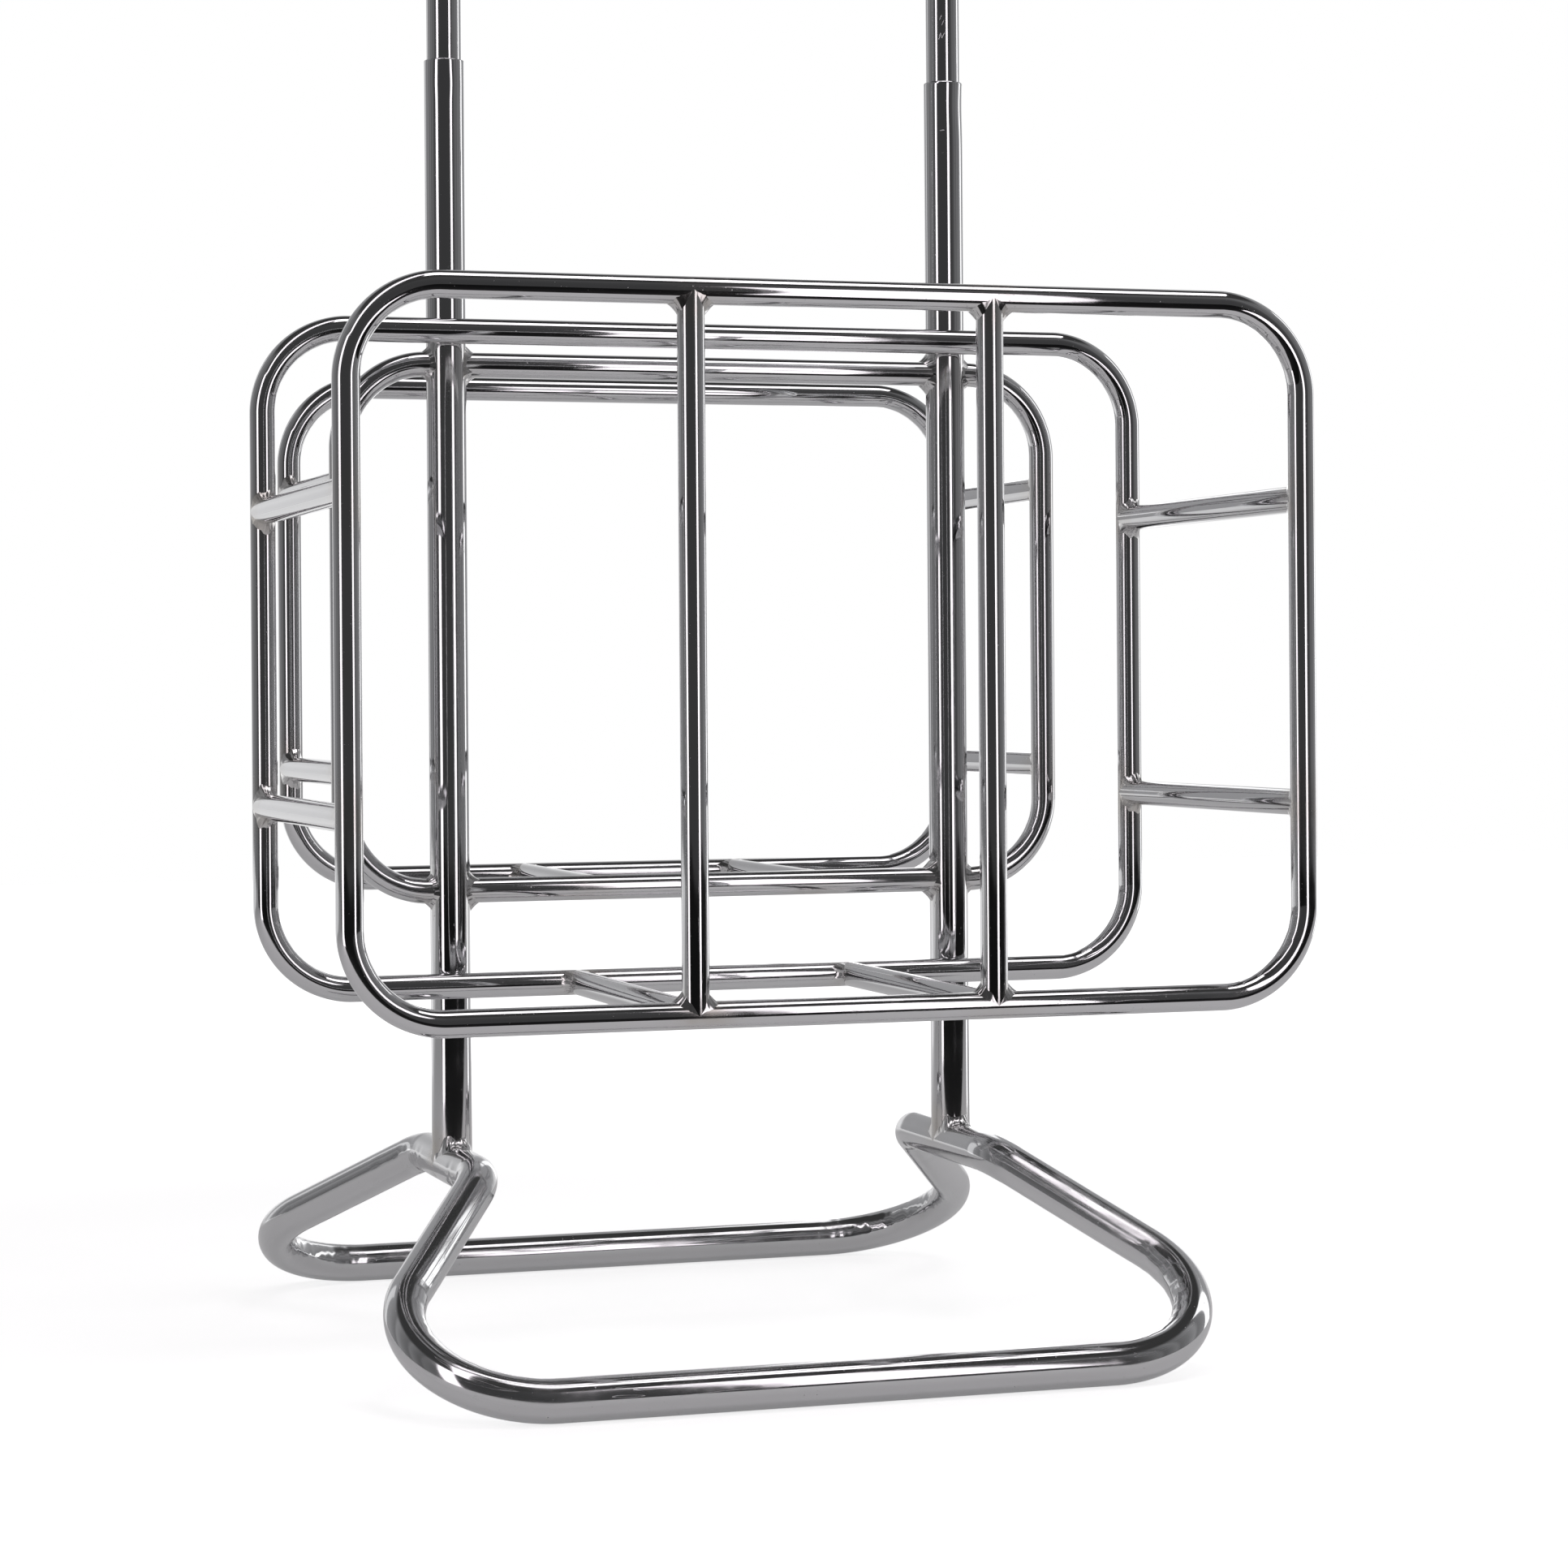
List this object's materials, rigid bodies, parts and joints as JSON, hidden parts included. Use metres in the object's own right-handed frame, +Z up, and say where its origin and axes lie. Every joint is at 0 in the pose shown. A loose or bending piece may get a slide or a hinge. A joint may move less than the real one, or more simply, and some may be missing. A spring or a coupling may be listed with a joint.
{
  "type": "luggage sizing rack",
  "caption": "Free-standing chromed steel tube rack with open box cages that gauge cabin bags, carried on posts over a looped floor base, with telescoping upper tubes.",
  "frame": {"origin": "on the floor, below the middle of the assembly box", "axes": "+X to the right seen from the front box, +Y from the front box to the rear box, +Z up"},
  "size_m": [0.595, 0.5814, 0.9615],
  "materials": {
    "base_chrome": "bright chrome plate on bent tube, lightly scuffed",
    "post_chrome": "bright chrome plate on straight tube",
    "upper_tube_chrome": "bright chrome plate with fine sliding marks",
    "cage_chrome": "bright chrome plate on thin tube, pitted and lightly scratched",
    "plug_plastic": "black moulded polyethylene",
    "bush_plastic": "natural acetal",
    "screw_steel": "zinc-plated screw"
  },
  "bodies": {
    "frame": {"base_loop_front": "base_chrome", "base_loop_rear": "base_chrome", "post_left": "post_chrome", "lock_boss_left": "post_chrome", "lock_screw_left": "screw_steel", "post_right": "post_chrome", "lock_boss_right": "post_chrome", "lock_screw_right": "screw_steel", "front_frame": "cage_chrome", "middle_frame": "cage_chrome", "rear_frame": "cage_chrome", "front_upright_left": "cage_chrome", "front_floor_bar_left": "cage_chrome", "rear_floor_bar_left": "cage_chrome", "post_ear_left": "cage_chrome", "front_side_bar_upper_left": "cage_chrome", "rear_side_bar_upper_left": "cage_chrome", "front_side_bar_lower_left": "cage_chrome", "rear_side_bar_lower_left": "cage_chrome", "front_upright_right": "cage_chrome", "front_floor_bar_right": "cage_chrome", "rear_floor_bar_right": "cage_chrome", "post_ear_right": "cage_chrome", "front_side_bar_upper_right": "cage_chrome", "rear_side_bar_upper_right": "cage_chrome", "front_side_bar_lower_right": "cage_chrome", "rear_side_bar_lower_right": "cage_chrome", "post_rail_upper": "cage_chrome", "post_rail_lower": "cage_chrome"},
    "mast_left": {"upper_tube_left": "upper_tube_chrome", "end_plug_left": "plug_plastic", "foot_bush_left": "bush_plastic"},
    "mast_right": {"upper_tube_right": "upper_tube_chrome", "end_plug_right": "plug_plastic", "foot_bush_right": "bush_plastic"}
  },
  "joints": [
    {"name": "mast_left_slide", "type": "slide", "parent": "frame", "child": "mast_left", "axis": [0, 0, 1], "range_m": [-0.125, 0.28]},
    {"name": "mast_right_slide", "type": "slide", "parent": "frame", "child": "mast_right", "axis": [0, 0, 1], "range_m": [-0.125, 0.28]}
  ]
}
